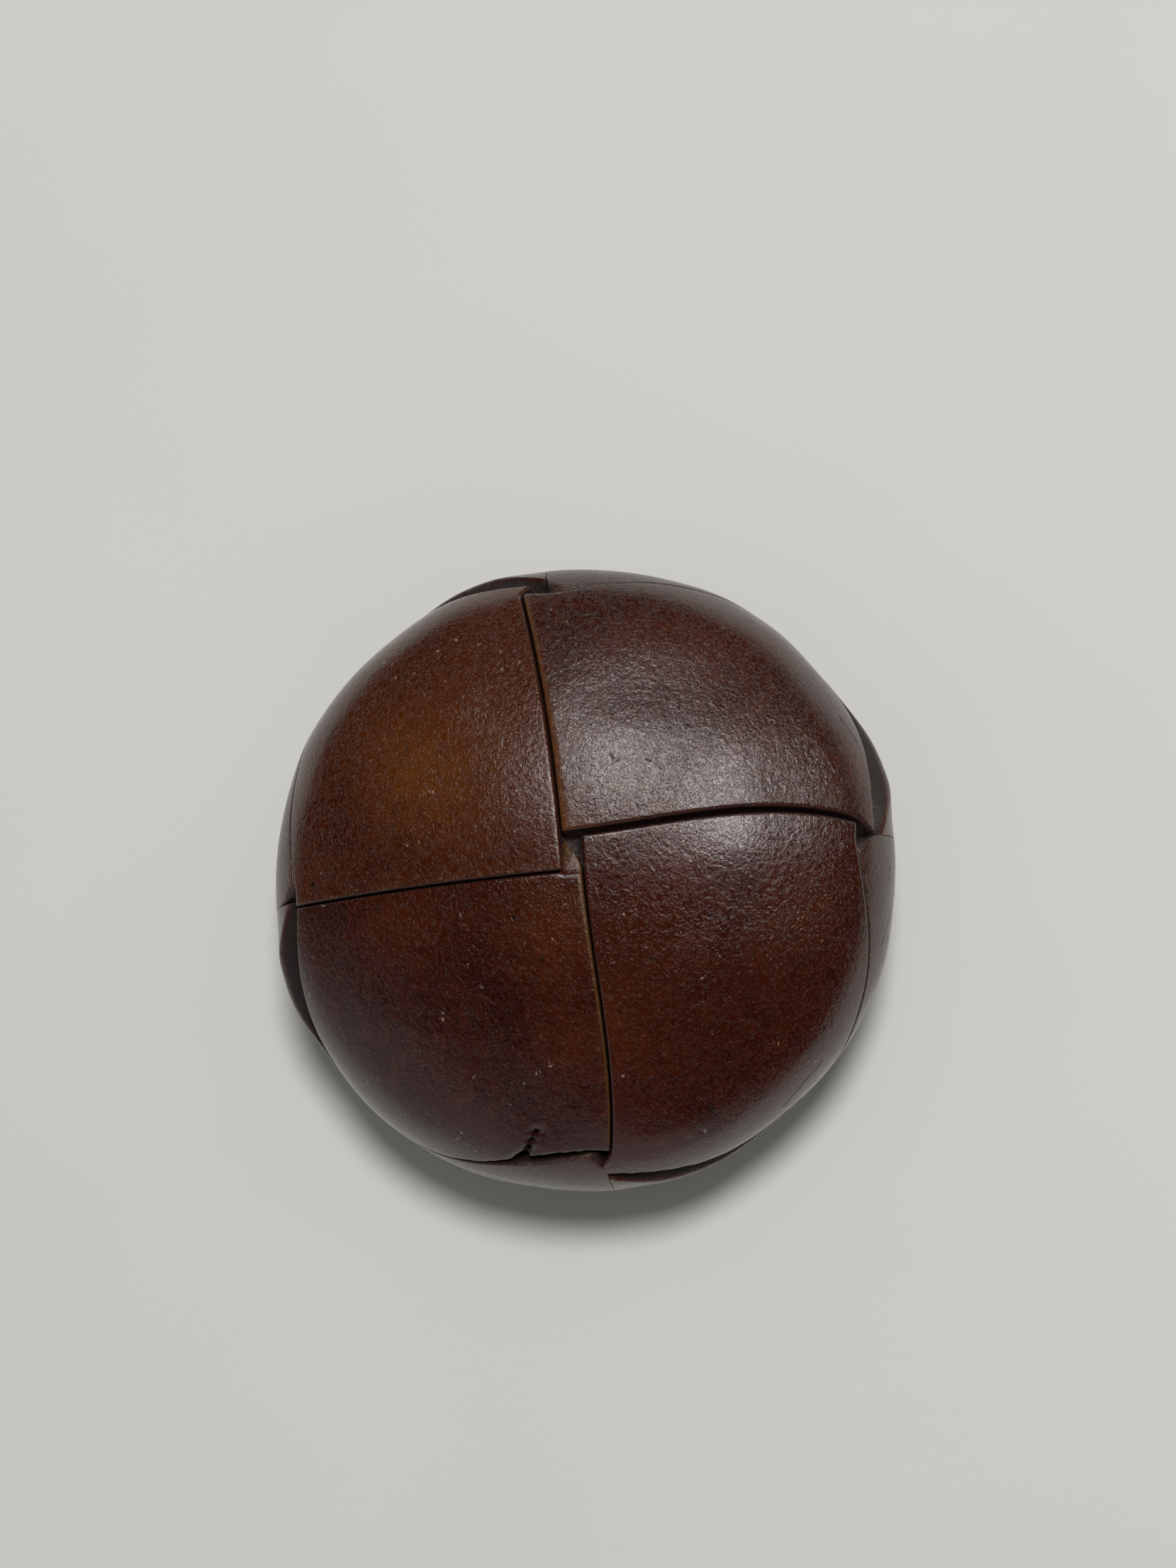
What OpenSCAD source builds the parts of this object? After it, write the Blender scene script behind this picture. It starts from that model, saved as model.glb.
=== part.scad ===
// Woven leather shank button.
//
// Four face strips and one rim strip are woven over and under each other, in two layers,
// round a domed former. +Z is up through the crown, and Z = 0 is the flat of the shank
// strap, which the button stands on. The right and left strips run along Y, the rear and
// front strips run along X, and the weave repeats every quarter turn.

/* [Button] */
// Diameter at the widest part
button_d = 25; // [24.4:0.2:26]
// Radius of the shoulder above the widest part
shoulder_r = 3.38; // [3.3:0.04:3.7]
// Radius of the turn-in below the widest part
heel_r = 4.6; // [4.2:0.1:4.8]

/* [Leather strips] */
// Thickness of one strip
leather_t = 0.9; // [0.8:0.05:0.95]
// Clearance between one strip and the next
strip_gap = 0.06; // [0.04:0.01:0.08]
// How far each over-panel reaches past the centre line
seam_shift = 0.5; // [0.4:0.05:0.7]
// Distance from the axis to the straight free edge of an over-panel
free_edge = 11; // [10.8:0.1:11.2]
// Width of the open crescent beyond that free edge
crescent_w = 0.35; // [0.2:0.05:0.5]
// Length over which a strip steps from one layer to the other at the rim
step_l = 0.6; // [0.5:0.05:0.7]

/* [Rim strip] */
// Angle from straight up of the rim strip's edge on the face
face_edge_angle = 50; // [48:1:54]
// Angle from straight up of the rim strip's edge on the back
back_edge_angle = 145; // [140:1:150]

/* [Shank] */
// Width of the shank strap
strap_w = 5; // [4:0.5:6]
// How far the strap stands below the woven back
strap_drop = 2; // [2:0.1:2.2]
// Length of the strap's flat crown
crown_l = 4.8; // [4.4:0.2:5.2]
// Length of each strap end that lies on the backing disc
fold_l = 2.6; // [2:0.2:3]
// Thickness of the backing disc
disc_t = 1.6; // [1.4:0.1:1.8]

/* [Hidden] */
far = 60;
form_fn = 180;
bend_steps = 8;

// The form: crown, shoulder and heel arcs that meet tangentially, and a flat back. The
// line through the crown's and the shoulder's centres runs 8 out for 15 up, so it is 17
// long, and the two arcs touch exactly.
button_r = button_d / 2;
back_z = strap_drop;
widest_z = back_z + heel_r;
shoulder_x = button_r - shoulder_r;
heel_x = button_r - heel_r;
crown_r = shoulder_r + shoulder_x * 17 / 8;
crown_z = widest_z - shoulder_x * 15 / 8;
crown_angle = atan2(8, 15);

// Layers of leather, as depths below the outer surface
outer_layer = [0, leather_t - strip_gap / 2];
inner_layer = [leather_t + strip_gap / 2, 2 * leather_t];
both_layers = [0, 2 * leather_t];
core_depth = 2 * leather_t + strip_gap;

// Steps and clearances beside the rim strip, as angles round the shoulder and the heel
face_step = step_l / (shoulder_r - leather_t) * 180 / PI;
back_step = step_l / (heel_r - leather_t) * 180 / PI;
face_gap = strip_gap / (shoulder_r - 2 * leather_t) * 180 / PI;
back_gap = strip_gap / (heel_r - 2 * leather_t) * 180 / PI;
face_edge = face_edge_angle;
back_edge = back_edge_angle;

// Plan lines of the weave, from the centre outwards
half_gap = strip_gap / 2;
seam = seam_shift + half_gap;
step_seam = seam_shift + leather_t;
under_seam = step_seam + strip_gap;

// The shank strap's centre line: flat crown, slope, leg up through the disc, fold outwards
strap_t = leather_t;
slope_angle = 35;
slope_l = 1.4;
crown_bend_r = 0.9;
leg_bend_r = 0.7;
fold_bend_r = 0.65;
slot_clear = 0.1;
disc_z = back_z + core_depth;
parting_z = disc_z + disc_t;
crown_centre = [crown_l / 2, strap_t / 2 + crown_bend_r];
slope_start = crown_centre + crown_bend_r * [sin(slope_angle), -cos(slope_angle)];
slope_end = slope_start + slope_l * [cos(slope_angle), sin(slope_angle)];
leg_centre = slope_end + leg_bend_r * [-sin(slope_angle), cos(slope_angle)];
leg_x = leg_centre.x + leg_bend_r;
fold_z = parting_z + strip_gap + strap_t / 2;
fold_centre = [leg_x + fold_bend_r, fold_z - fold_bend_r];
fold_end = fold_centre.x + fold_l;

// ---- The form's half section, x out from the axis and y up ----

// Angles are from straight up: 0 is the crown, 90 the widest part, 180 the back. A line at
// an angle runs out from the centre of the shoulder, or of the heel below the widest part.
function line_start(angle) = [angle < 90 ? shoulder_x : heel_x, widest_z];
function line_end(angle) = line_start(angle) + far * [sin(angle), cos(angle)];

// All that lies between two angles
module zone(from, to) {
    start = from == 0 ? [[0, widest_z], [0, far]] : [line_start(from), line_end(from)];
    end = to == 180 ? [[0, -far], [0, widest_z]] : [line_end(to), line_start(to)];
    polygon(concat(start, end));
}

// The form, taken in by a depth all round, in sectors that meet on straight lines
module form(depth) {
    intersection() {
        translate([0, crown_z]) circle(r = crown_r - depth, $fn = 4 * form_fn);
        zone(0, crown_angle);
    }
    intersection() {
        translate([shoulder_x, widest_z]) circle(r = shoulder_r - depth, $fn = form_fn);
        zone(crown_angle, 90);
    }
    intersection() {
        translate([heel_x, widest_z]) circle(r = heel_r - depth, $fn = form_fn);
        translate([heel_x, widest_z - far]) square(far);
    }
    translate([0, back_z + depth]) square([heel_x, widest_z - back_z - depth]);
}

// One layer of leather between two angles, all the way round
module ring(layer, from, to) {
    rotate_extrude($fn = form_fn) intersection() {
        difference() {
            form(layer[0]);
            form(layer[1]);
        }
        zone(from, to);
    }
}

// ---- Plan regions of the quarter between +X and +Y ----

// The upright block over a plan rectangle
module over_plan(x, y) {
    translate([x[0], y[0], -1]) cube([x[1] - x[0], y[1] - y[0], far]);
}

// The eighth next to +X, where the lower face strip comes out and passes over the rim strip
module passing_eighth(clear) {
    edge = seam_shift + clear;
    linear_extrude(far) polygon([
        [edge + clear * sqrt(2), edge],
        [far, edge],
        [far, far - clear * sqrt(2)]
    ]);
}

// The eighth next to +Y, where the upper face strip tucks under the rim strip
module tucked_eighth(clear) {
    edge = clear - seam_shift;
    linear_extrude(far) polygon([
        [edge, far],
        [edge, edge + clear * sqrt(2)],
        [far - clear * sqrt(2), far]
    ]);
}

// ---- The two halves of a face strip, drawn in the quarter between +X and +Y ----

// The strip whose panel is on top in this quarter
module upper_half() {
    // Panels on the face and on the back
    intersection() {
        ring(outer_layer, 0, face_edge - face_gap);
        over_plan([half_gap - seam_shift, free_edge], [seam, far]);
    }
    intersection() {
        ring(outer_layer, back_edge + back_gap, 180);
        over_plan([half_gap - seam_shift, far], [seam, far]);
    }
    // Steps down at the centre seams
    intersection() {
        union() {
            ring(both_layers, 0, face_edge - face_step - face_gap);
            ring(both_layers, back_edge + back_step + 2 * back_gap, 180);
        }
        over_plan([under_seam, free_edge], [seam, step_seam]);
    }
    // Tuck under the rim strip, with a step at each end
    intersection() {
        union() {
            ring(both_layers, face_edge - face_step, face_edge - face_gap);
            ring(inner_layer, face_edge - face_step, back_edge + back_step);
            ring(both_layers, back_edge + back_gap, back_edge + back_step);
        }
        tucked_eighth(step_l + strip_gap);
    }
}

// The strip that runs below that panel, and then passes over the rim strip
module lower_half() {
    // Runs below the panels on the face and on the back
    intersection() {
        union() {
            ring(inner_layer, 0, face_edge - face_step - face_gap);
            ring(inner_layer, back_edge + back_step + 2 * back_gap, 180);
        }
        over_plan([-step_seam, far], [under_seam, far]);
    }
    intersection() {
        union() {
            ring(inner_layer, face_edge - 2 * face_step, face_edge + face_step);
            ring(inner_layer, back_edge - back_step, back_edge + 2 * back_step);
        }
        over_plan([0, far], [under_seam, far]);
        passing_eighth(strip_gap);
    }
    // Steps up beyond the panel's free edge, and over the rim strip
    intersection() {
        ring(both_layers, 0, face_edge + face_step);
        over_plan([free_edge + crescent_w, far], [0, far]);
        passing_eighth(half_gap);
    }
    intersection() {
        union() {
            ring(both_layers, face_edge, face_edge + face_step);
            ring(outer_layer, face_edge, back_edge - back_gap);
            ring(both_layers, back_edge - back_step, back_edge - back_gap);
        }
        passing_eighth(half_gap);
    }
}

// ---- Shank strap ----

function arc(centre, r, from, to) = [
    for (i = [0:bend_steps])
        let (angle = from + (to - from) * i / bend_steps)
        centre + r * [cos(angle), sin(angle)]
];

function reversed(points) = [for (i = [len(points) - 1:-1:0]) points[i]];

// The edge of the strap's section at an offset below its centre line, on the +X side
function half_edge(offset) = concat(
    arc(crown_centre, crown_bend_r + offset, -90, slope_angle - 90),
    arc(leg_centre, leg_bend_r + offset, slope_angle - 90, 0),
    arc(fold_centre, fold_bend_r - offset, 180, 90),
    [[fold_end, fold_z - offset]]
);

// The same edge from the -X end to the +X end
function strap_edge(offset) = concat(
    reversed([for (p = half_edge(offset)) [-p.x, p.y]]),
    half_edge(offset)
);

// The slots that the strap's legs pass through, up to a height
module leg_slots(top) {
    slot_w = strap_t + 2 * slot_clear;
    slot_l = strap_w + 2 * slot_clear;
    for (side = [-1, 1])
        translate([side * leg_x - slot_w / 2, -slot_l / 2, 0]) cube([slot_w, slot_l, top]);
}

// ---- Sub-parts ----

// One face strip, turned to its quarter
module face_strip(quarter_turns) {
    color([0.36, 0.16, 0.09]) difference() {
        rotate(90 * quarter_turns) {
            upper_half();
            rotate(-90) lower_half();
        }
        leg_slots(parting_z);
    }
}

module strip_right() { face_strip(0); }

module strip_rear() { face_strip(1); }

module strip_left() { face_strip(2); }

module strip_front() { face_strip(3); }

module rim_strip() {
    color([0.3, 0.13, 0.1]) {
        for (quarter = [0:3]) rotate(90 * quarter) {
            intersection() {
                ring(outer_layer, face_edge, back_edge);
                tucked_eighth(half_gap);
            }
            intersection() {
                ring(both_layers, face_edge, back_edge);
                difference() {
                    tucked_eighth(half_gap);
                    tucked_eighth(step_l);
                }
            }
        }
        difference() {
            ring(inner_layer, face_edge + face_step + 2 * face_gap, back_edge - back_step - 2 * back_gap);
            for (quarter = [0:3]) rotate(90 * quarter) tucked_eighth(step_l);
        }
    }
}

module core_dome() {
    pocket_x = leg_x - strap_t / 2 - slot_clear;
    pocket_l = fold_end + slot_clear - pocket_x;
    pocket_w = strap_w + 2 * slot_clear;
    pocket_top = fold_z + strap_t / 2 + slot_clear;
    color([0.62, 0.46, 0.3]) difference() {
        rotate_extrude($fn = form_fn) intersection() {
            form(core_depth);
            translate([0, parting_z + strip_gap]) square(far);
        }
        for (turn = [0, 180]) rotate(turn)
            translate([pocket_x, -pocket_w / 2, 0]) cube([pocket_l, pocket_w, pocket_top]);
    }
}

module backing_disc() {
    color([0.5, 0.33, 0.2]) difference() {
        rotate_extrude($fn = form_fn) intersection() {
            form(core_depth);
            square([far, parting_z]);
        }
        leg_slots(far);
    }
}

module shank_strap() {
    color([0.42, 0.22, 0.12]) rotate([90, 0, 0]) linear_extrude(strap_w, center = true)
        polygon(concat(strap_edge(strap_t / 2), reversed(strap_edge(-strap_t / 2))));
}

core_dome();
backing_disc();
shank_strap();
strip_left();
strip_right();
strip_rear();
strip_front();
rim_strip();
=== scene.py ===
"""Looks of the woven leather shank button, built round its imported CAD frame."""

import math

import bpy
import numpy as np
from mathutils import Matrix, Vector


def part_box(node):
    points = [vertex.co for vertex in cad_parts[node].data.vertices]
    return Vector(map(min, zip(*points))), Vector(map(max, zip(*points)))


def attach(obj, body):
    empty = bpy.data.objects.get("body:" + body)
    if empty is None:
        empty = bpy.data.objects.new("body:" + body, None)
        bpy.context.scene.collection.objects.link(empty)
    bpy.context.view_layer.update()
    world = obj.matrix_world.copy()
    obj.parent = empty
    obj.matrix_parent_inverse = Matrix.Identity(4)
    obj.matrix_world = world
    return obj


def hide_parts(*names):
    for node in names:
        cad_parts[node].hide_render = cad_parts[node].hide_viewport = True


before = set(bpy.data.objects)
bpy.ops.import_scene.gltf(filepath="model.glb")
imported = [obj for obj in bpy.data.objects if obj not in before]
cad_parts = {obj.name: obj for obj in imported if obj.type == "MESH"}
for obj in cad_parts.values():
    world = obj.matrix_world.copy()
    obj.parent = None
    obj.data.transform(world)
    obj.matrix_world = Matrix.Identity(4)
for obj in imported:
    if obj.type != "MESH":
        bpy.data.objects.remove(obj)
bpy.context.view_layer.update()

MM = 0.001
PI = math.pi

# ---- The form, in millimetres, from the frame's boxes and the part's own arcs ----

strip_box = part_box("strip_right")
BUTTON_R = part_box("rim_strip")[1].x / MM
BACK_Z = strip_box[0].z / MM
SHOULDER_R = 3.38
HEEL_R = 4.6
LEATHER_T = 0.9
LAYER_GAP = 0.06
WIDEST_Z = BACK_Z + HEEL_R
SHOULDER_X = BUTTON_R - SHOULDER_R
HEEL_X = BUTTON_R - HEEL_R
CROWN_R = SHOULDER_R + SHOULDER_X * 17 / 8
CROWN_Z = WIDEST_Z - SHOULDER_X * 15 / 8
CROWN_ANGLE = math.atan2(8, 15)

# Lengths along the form's section from the crown: end of the crown, widest line, back, back's centre
Q_CROWN = CROWN_R * CROWN_ANGLE
Q_WIDEST = Q_CROWN + SHOULDER_R * (PI / 2 - CROWN_ANGLE)
Q_HEEL = Q_WIDEST + HEEL_R * PI / 2
Q_ALL = Q_HEEL + HEEL_X

# ---- The weave, in millimetres ----

# turn is the quarter turn that brings the strip to its place. Its long cut edge stands past the
# centre line by its shift, swings out by its skew at the rim and bows out by its bow between.
# groove is the length over which the strip dives at its own start, below the edge of the strip
# above, and gap the opening left beside it. skive is the width of the bevel that shows the raw
# leather along the cut edge, and fade the share of it that is lost by the rim. reach is how much
# further out than the rim strip's face edge the free edge lies, gape the share of the full width
# to which the crescent beyond it opens, and ragged how much it wavers in short steps.
STRIPS = {
    "strip_right": dict(turn=0, shift=-0.05, skew=1.3, bow=0.0, groove=0.13, gap=0.05,
                        skive=0.42, fade=0.6, reach=0.95, gape=0.9, ragged=0.02),
    "strip_rear": dict(turn=1, shift=0.39, skew=0.13, bow=0.0, groove=0.09, gap=0.02,
                       skive=0.10, fade=0.0, reach=0.55, gape=0.55, ragged=0.02),
    "strip_left": dict(turn=2, shift=0.68, skew=-0.1, bow=0.30, groove=0.11, gap=0.03,
                       skive=0.22, fade=0.75, reach=-0.1, gape=0.85, ragged=0.02),
    "strip_front": dict(turn=3, shift=0.88, skew=-0.03, bow=0.48, groove=0.16, gap=0.15,
                        skive=0.14, fade=0.0, reach=1.15, gape=0.45, ragged=0.07),
}
BY_TURN = sorted(STRIPS, key=lambda name: STRIPS[name]["turn"])
HOLE_W = 0.63                    # width and length of the opening between the four cut edges
HOLE_L = 1.27
FACE_EDGE = Q_WIDEST - 3.15      # the rim strip's face edge at the strips' axes
FACE_EDGE_DROP = 3.5             # how much lower that edge is at the diagonals
BACK_EDGE = Q_WIDEST + 3.6       # the rim strip's back edge at the axes
BACK_EDGE_DROP = 1.9
EDGE_POWER = 1.35                # how the rim strip's edges run between axis and diagonal
UNDER_T = LEATHER_T + LAYER_GAP  # depth of the lower layer's outer surface
SHEET_T = LEATHER_T - LAYER_GAP / 2
EDGE_ROUND = 0.11                # rounding of a cut edge on the face
RIM_ROUND = 0.03                 # rounding of the edges pressed together at the rim and the back
SEAM_DROOP = 0.6                 # how far a free corner droops past the end of its seam
CRESCENT_W = 1.3                 # widest run of the open crescent beyond a free edge
CRESCENT_END = 33.0              # degrees from the axis at which the crescent closes
PASS_START = 0.35                # where a passing strip's edge stands beyond the axis, at the rim
TUCK_CLEAR = 3.6                 # degrees that a tucked strip stands back from the diagonal
DIVE = 0.08                      # length over which the rim strip dives
HOLLOW = 0.9                     # size of the hollow at the rim strip's corner, at the end of each seam
LOBE = 0.04                      # height of the eight lobes at the rim
BULGE = 0.25                     # how far a passing strip stands proud beside the crescent
UNEVEN = 0.05                    # height of the slow unevenness of the whole form
INSET = 0.35                     # how far the hidden lower half keeps from the rim strip's edges
SHADE_RUN = 0.14                 # share of the lower layer's depth at which the painted shade on a dive is full
TEAR_START, TEAR_END = (2.25, 10.5), (3.25, 12.1)   # the tear, in the left strip's own chart


def smooth(x):
    """0 below 0, 1 above 1, and a smooth step between."""
    x = np.clip(x, 0, 1)
    return x * x * (3 - 2 * x)


def groove(s, length):
    """Depth of a strip that dives under an edge: s is the distance still to go to that edge."""
    x = np.clip(1 - s / length, 0, 1)
    return UNDER_T * (1 - np.sqrt(1 - x * x))


def hash_noise(seed):
    """Smooth noise over three coordinates, about -1 to 1, from a seeded lattice."""
    lattice = np.random.default_rng(seed).uniform(-1, 1, (32, 32, 32))

    def noise(x, y, z=0.0):
        x, y, z = np.broadcast_arrays(np.asarray(x, float), y, z)
        ix, iy, iz = (np.floor(c).astype(int) for c in (x, y, z))
        fx, fy, fz = (smooth(c - i) for c, i in ((x, ix), (y, iy), (z, iz)))
        total = 0
        for dx in (0, 1):
            for dy in (0, 1):
                for dz in (0, 1):
                    weight = (fx if dx else 1 - fx) * (fy if dy else 1 - fy) * (fz if dz else 1 - fz)
                    total = total + weight * lattice[(ix + dx) % 32, (iy + dy) % 32, (iz + dz) % 32]
        return total

    return noise


surface_noise = hash_noise(11)
edge_noise = hash_noise(23)
wall_noise = hash_noise(37)


def section(q):
    """Point and outward normal of the form's section at a length q from the crown."""
    angle = np.where(q < Q_CROWN, q / CROWN_R,
                     np.where(q < Q_WIDEST, CROWN_ANGLE + (q - Q_CROWN) / SHOULDER_R,
                              PI / 2 + np.clip((q - Q_WIDEST) / HEEL_R, 0, PI / 2)))
    centre_r = np.where(q < Q_CROWN, 0, np.where(q < Q_WIDEST, SHOULDER_X, HEEL_X))
    centre_z = np.where(q < Q_CROWN, CROWN_Z, WIDEST_Z)
    radius = np.where(q < Q_CROWN, CROWN_R, np.where(q < Q_WIDEST, SHOULDER_R, HEEL_R))
    r = centre_r + radius * np.sin(angle) - np.clip(q - Q_HEEL, 0, None)
    z = centre_z + radius * np.cos(angle)
    return r, z, np.sin(angle), np.cos(angle)


def lobes(q, theta):
    """The form's eight shallow lobes, strongest at the widest line."""
    share = np.exp(-((q - Q_WIDEST) / 2.6) ** 2)
    return LOBE * share * np.cos(8 * (theta - math.radians(12)))


def place(q, theta, depth):
    """Points of the form at a depth below its outer surface."""
    r, z, nr, nz = section(q)
    d = depth - lobes(q, theta)
    d = d - UNEVEN * surface_noise(r * np.cos(theta) * 0.45 + 7, r * np.sin(theta) * 0.45, z * 0.45)
    reach = np.maximum(r - d * nr, 0)
    return np.stack([reach * np.cos(theta), reach * np.sin(theta), z - d * nz], -1)


def off_axis(theta):
    """Angle in degrees from the nearest of the four axes."""
    degrees = np.degrees(theta)
    return np.abs((degrees + 45) % 90 - 45)


def face_edge(theta):
    share = (off_axis(theta) / 45) ** EDGE_POWER
    return FACE_EDGE + FACE_EDGE_DROP * share


def back_edge(theta):
    share = (off_axis(theta) / 45) ** EDGE_POWER
    return BACK_EDGE + BACK_EDGE_DROP * share


def crescent(theta):
    """Run of the open crescent, from a free edge to the crest of the strip that comes out below it."""
    phi = off_axis(theta)
    opening = np.clip((phi - 1.2) / 9.0, 0, 1) ** 0.6 * (1 - smooth((phi - 15.0) / (CRESCENT_END - 15.0)))
    return CRESCENT_W * opening


def free_edge(theta, strip):
    """A strip's free edge, beside the crescent."""
    return face_edge(theta) + strip["reach"] * (1 - smooth((off_axis(theta) - 24) / 18))


def cut_edge(along, strip):
    """How far a strip's long cut edge stands past the centre line, at a length along the strip."""
    t = np.clip(along / FACE_EDGE, 0, 1)
    return strip["shift"] + strip["skew"] * t ** 2 + strip["bow"] * 6.75 * t ** 2 * (1 - t)


# ---- Grids ----

def graded(count, pull):
    """Values from 0 to 1 that lie closer together towards both ends."""
    t = np.linspace(0, 1, count)
    return t - pull * np.sin(2 * PI * t) / (2 * PI)


def to_polar(points):
    return np.hypot(points[..., 0], points[..., 1]), np.arctan2(points[..., 1], points[..., 0])


def from_polar(q, theta):
    return np.stack([q * np.cos(theta), q * np.sin(theta)], -1)


def straight(start, end, steps):
    steps = steps[:, None]
    return np.asarray(start) * (1 - steps) + np.asarray(end) * steps


ACROSS = 76
U = graded(ACROSS, 0.85)


def patch(left, right, top, bottom, v):
    """Points of the patch between two long sides, an outer edge and an inner edge."""
    u, w = U[None, :, None], v[:, None, None]
    return ((1 - w) * bottom + w * top + (1 - u) * left[:, None] + u * right[:, None]
            - (1 - u) * (1 - w) * bottom[0] - u * (1 - w) * bottom[-1]
            - (1 - u) * w * top[0] - u * w * top[-1])


def start_line(left, right, seam):
    """The inner edge of a panel, that follows the seam it dives under."""
    along = left[0] + (right[0] - left[0]) * U
    off = right[1] - seam(right[0])
    return np.stack([along, seam(along) + (left[1] - seam(left[0])) * (1 - U) + off * U], -1)


def panel(side, seam, edge, outer, rows):
    """Chart points of a strip's visible half, from its start line out to the rim: side is its long cut
    edge, seam the line it starts at, edge its tucked outer edge and outer its free outer edge."""
    end_angle = PI / 2 + side(FACE_EDGE) / FACE_EDGE
    q_end = edge(end_angle)
    v = graded(rows, 0.6)
    first_y = seam(0.0)
    y = first_y + (q_end * math.sin(end_angle) - first_y) * v
    left = np.stack([-side(y), y], -1)
    left[-1] = [q_end * math.cos(end_angle), q_end * math.sin(end_angle)]
    corner_q = outer(0.04)
    first = math.asin(seam(corner_q) / corner_q)
    right_angle = first + (PI / 4 - first) * v
    right = from_polar(outer(right_angle), right_angle)
    top_angle = end_angle + (PI / 4 - end_angle) * U
    top = from_polar(edge(top_angle), top_angle)
    top = top + (right[-1] - top[-1]) * smooth((U - 0.9) / 0.1)[:, None]
    return patch(left, right, top, start_line(left[0], right[0], seam), v), top_angle


def torn(points):
    """Share of the tear that runs in from the front edge of the left strip, wider towards that edge."""
    start, end = np.array(TEAR_START), np.array(TEAR_END)
    run = end - start
    along = np.clip(((points - start) @ run) / (run @ run), 0, 1)
    across = np.linalg.norm(points - start - along[..., None] * run, axis=-1)
    across = across + 0.06 * edge_noise(points[..., 0] * 4, points[..., 1] * 4)
    return np.clip(1.25 - across / (0.05 + 0.52 * along ** 3), 0, 1)


def strip_band(name):
    """Rows of (q, theta, depth, shade) right round a strip: over half, rim, back, rim, under half.
    shade is the share of painted shade, 1 on the slopes of the gaps, and below 0 where the raw leather shows.
    Also the widths of each row's left and right bevel."""
    own = STRIPS[name]
    above = STRIPS[BY_TURN[(own["turn"] - 1) % 4]]
    seed = 5.0 * own["turn"]
    is_floor = name == "strip_left"
    bands = []

    def waver(angle):
        ragged = own["ragged"] * edge_noise(np.degrees(angle) * 0.7 + seed, seed + 1.5)
        return 0.06 * edge_noise(np.degrees(angle) * 0.11 + seed, seed) + ragged

    def side(along):
        return cut_edge(along, own)

    def seam(along):
        return cut_edge(along, above) - SEAM_DROOP * smooth((along - FACE_EDGE) / 1.0)

    def flat_seam(along):
        return np.full(np.shape(along), above["shift"])

    def back_q(angle):
        return Q_ALL - back_edge(angle)

    def floor_share(points):
        """1 where the strip floors the opening at the centre."""
        return is_floor * (1 - smooth((points[..., 0] + own["shift"] - HOLE_W - 0.1) / 0.2))

    def floor_depth(s):
        return 0.10 + 0.34 * smooth((0.3 - s) / (HOLE_L + 0.3)) - 0.10 * smooth(s / 0.3)

    def add(q, theta, depth, shade=0.0):
        bands.append(np.stack(np.broadcast_arrays(q, theta, depth, shade), -1))

    # Over half, on the face: it dives at its start, and under the rim strip at its end
    points, top_angle = panel(side, seam, face_edge, lambda a: free_edge(a, own) + waver(a), 62)
    q, theta = to_polar(points)
    s = points[..., 1] - seam(points[..., 0])
    hole = floor_share(points)
    dive = (1 - hole) * groove(s - above["gap"], above["groove"]) + hole * floor_depth(s)
    tuck_share = smooth((np.degrees(theta) - 44.5) / 1.5)
    lifted = is_floor * np.exp(-((points[..., 0] - 2.5) / 2.0) ** 2)
    tuck = tuck_share * groove(face_edge(theta) - q + 0.02 - 0.34 * lifted, 0.10 + 0.05 * lifted)
    tear = is_floor * torn(points)
    depth = np.maximum(np.maximum(dive, tuck), 0.7 * tear)
    # Painted shade on the dives, none where the strip floors the opening
    shaded = smooth(depth / UNDER_T / SHADE_RUN) * (1 - hole)
    add(q, theta, depth, shaded - 0.7 * hole * smooth((0.05 - s) / 0.1))

    # Under the rim strip
    rim_angle_end = top_angle + (math.radians(45 + TUCK_CLEAR) - PI / 4) * smooth((U - 0.6) / 0.4)
    for share in np.linspace(0.06, 0.94, 16):
        angle = top_angle + (rim_angle_end - top_angle) * min(1, 4 * share, 4 * (1 - share))
        q_row = face_edge(top_angle) * (1 - share) + back_edge(top_angle) * share
        add(q_row[None], angle[None], UNDER_T)

    # Over half, on the back
    points, _ = panel(lambda y: own["shift"] + 0 * y, flat_seam, back_q, lambda a: back_q(a) + waver(a), 36)
    points = points[::-1]
    q, theta = to_polar(points)
    s = points[..., 1] - above["shift"]
    tuck = smooth((np.degrees(theta) - 44.5) / 1.5) * groove(back_q(theta) - q - 0.03, 0.42)
    add(Q_ALL - q, theta, np.maximum(groove(s - 0.03, 0.4), tuck))

    # Under half, on the back and then on the face, with the side near the seam kept clear of it
    for edge, line, count in ((back_q, flat_seam, 30), (face_edge, seam, 30)):
        on_face = line is seam
        first = math.asin(line(FACE_EDGE) / FACE_EDGE)
        pass_angle = -PI / 2 + PASS_START / BUTTON_R
        v = np.linspace(0.02, 1, count)
        q_end = edge(pass_angle) - INSET
        left = straight([-own["shift"], above["shift"]],
                        [q_end * math.cos(pass_angle), q_end * math.sin(pass_angle)], v)
        left[:, 0] += 1.1 * smooth(v / 0.22) * (1 - smooth((v - 0.8) / 0.2))
        right_angle = first + (-PI / 4 - first) * v
        right = from_polar(edge(right_angle) - INSET, right_angle)
        top_angle = pass_angle + (-PI / 4 - pass_angle) * U
        top = from_polar(edge(top_angle) - INSET, top_angle)
        points = patch(left, right, top, start_line(left[0], right[0], line), v)
        q, theta = to_polar(points)
        if on_face:
            s = points[..., 1] - seam(points[..., 0])
            hole = floor_share(points) * (s > -HOLE_L - 0.2)
            depth = UNDER_T * (1 - hole) + hole * floor_depth(s)
            bare = is_floor * (s > -HOLE_L - 0.2) * (points[..., 0] + own["shift"] < HOLE_W + 0.5)
            # Painted shade on the under half, raw leather where it floors the opening
            shade = 1 - 1.7 * bare
            under_face = (q[::-1], theta[::-1], depth[::-1], shade[::-1])
        else:
            add(Q_ALL - q, theta, np.full(q.shape, UNDER_T))

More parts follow.
